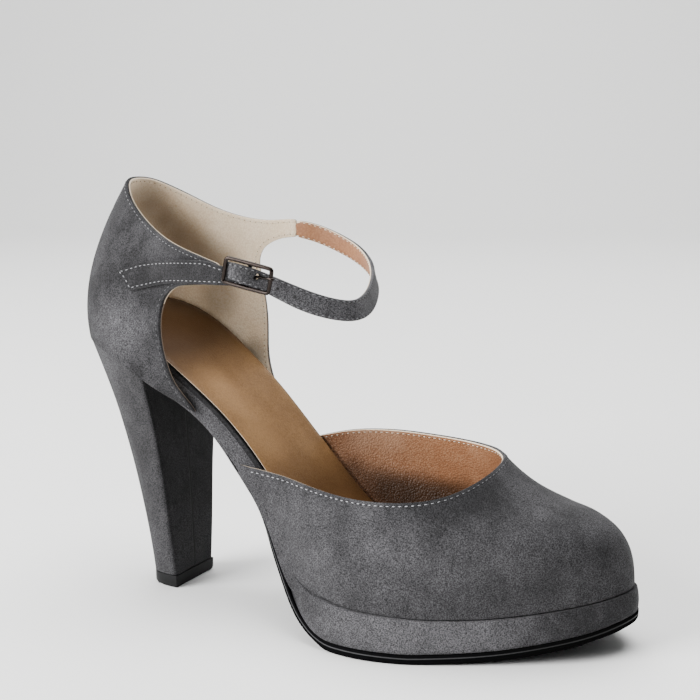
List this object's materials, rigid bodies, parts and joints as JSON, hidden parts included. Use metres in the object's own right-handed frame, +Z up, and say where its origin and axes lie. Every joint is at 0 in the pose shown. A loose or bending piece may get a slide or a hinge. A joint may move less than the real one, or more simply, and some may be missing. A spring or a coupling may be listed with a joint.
{
  "type": "mary jane pump",
  "caption": "Grey suede mary jane pump for the right foot: closed toe, cut-away sides, buckled ankle strap, covered platform and high tapered block heel.",
  "frame": {"origin": "middle of the shoe's bounding box, at the floor", "axes": "+X from heel to toe along the shoe, +Y to the inner (big toe) side, +Z up"},
  "size_m": [0.2211, 0.0853, 0.1632],
  "materials": {
    "grey_suede": "dark grey suede, fine mottled nap, pale stitching",
    "platform_suede": "dark grey suede covering, tight grain",
    "black_rubber": "matte black moulded rubber",
    "tan_leather": "smooth satin tan leather, worn darker at the heel",
    "gunmetal": "dark gunmetal plating with a copper tone, polished"
  },
  "bodies": {
    "root": {"vamp": "grey_suede", "quarter": "grey_suede", "buckle_strap": "grey_suede", "ankle_strap": "grey_suede", "buckle_frame": "gunmetal", "buckle_prong": "gunmetal", "insole": "tan_leather", "insole_board": "platform_suede", "platform": "platform_suede", "outsole": "black_rubber", "heel": "platform_suede", "heel_tip": "black_rubber"}
  },
  "joints": []
}
